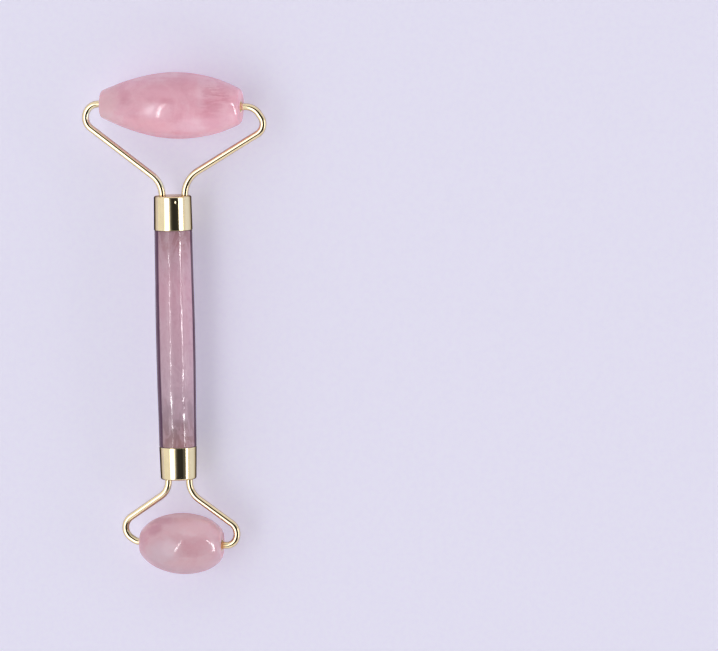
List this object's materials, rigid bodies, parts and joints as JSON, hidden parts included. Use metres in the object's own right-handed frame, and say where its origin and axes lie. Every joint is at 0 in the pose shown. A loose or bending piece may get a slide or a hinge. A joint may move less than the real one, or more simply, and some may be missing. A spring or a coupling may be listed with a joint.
{
  "type": "face roller",
  "caption": "Double-ended stone face roller: a polished rod handle with a wire fork and a spinning barrel-shaped stone roller at each end.",
  "frame": {"origin": "centre of the flat closed end of the large-end ferrule, on the handle's axis", "axes": "+Y along the handle's axis towards the large roller; +X to the right with the large roller up, along the rollers' axles; +Z square to the plane of the two forks, up when the tool lies flat"},
  "size_m": [0.0542, 0.1454, 0.0192],
  "materials": {
    "handle_quartz": "polished translucent rose quartz",
    "large_roller_quartz": "polished cloudy rose quartz",
    "small_roller_quartz": "polished milky rose quartz",
    "ferrule_gold": "polished pale gold plate",
    "wire_gold": "polished pale gold plate",
    "braze": "as brazed, satin",
    "nylon": "matt natural nylon",
    "epoxy": "cured clear-amber epoxy"
  },
  "bodies": {
    "handle": {"handle_stone": "handle_quartz", "large_end_ferrule": "ferrule_gold", "small_end_ferrule": "ferrule_gold", "large_end_adhesive": "epoxy", "small_end_adhesive": "epoxy", "large_fork_left_arm": "wire_gold", "large_fork_right_arm": "wire_gold", "small_fork_left_arm": "wire_gold", "small_fork_right_arm": "wire_gold", "large_left_braze": "braze", "large_right_braze": "braze", "small_left_braze": "braze", "small_right_braze": "braze"},
    "large_roller": {"large_roller_stone": "large_roller_quartz", "large_left_bush": "nylon", "large_right_bush": "nylon"},
    "small_roller": {"small_roller_stone": "small_roller_quartz", "small_left_bush": "nylon", "small_right_bush": "nylon"}
  },
  "joints": [
    {"name": "large_roller_spin", "type": "hinge", "parent": "handle", "child": "large_roller", "pos_m": [0, 0.02599, 0], "axis": [0.9996, -0.0285, 0], "continuous": true},
    {"name": "small_roller_spin", "type": "hinge", "parent": "handle", "child": "small_roller", "pos_m": [0, -0.10121, 0], "axis": [0.9994, -0.0355, 0], "continuous": true}
  ]
}
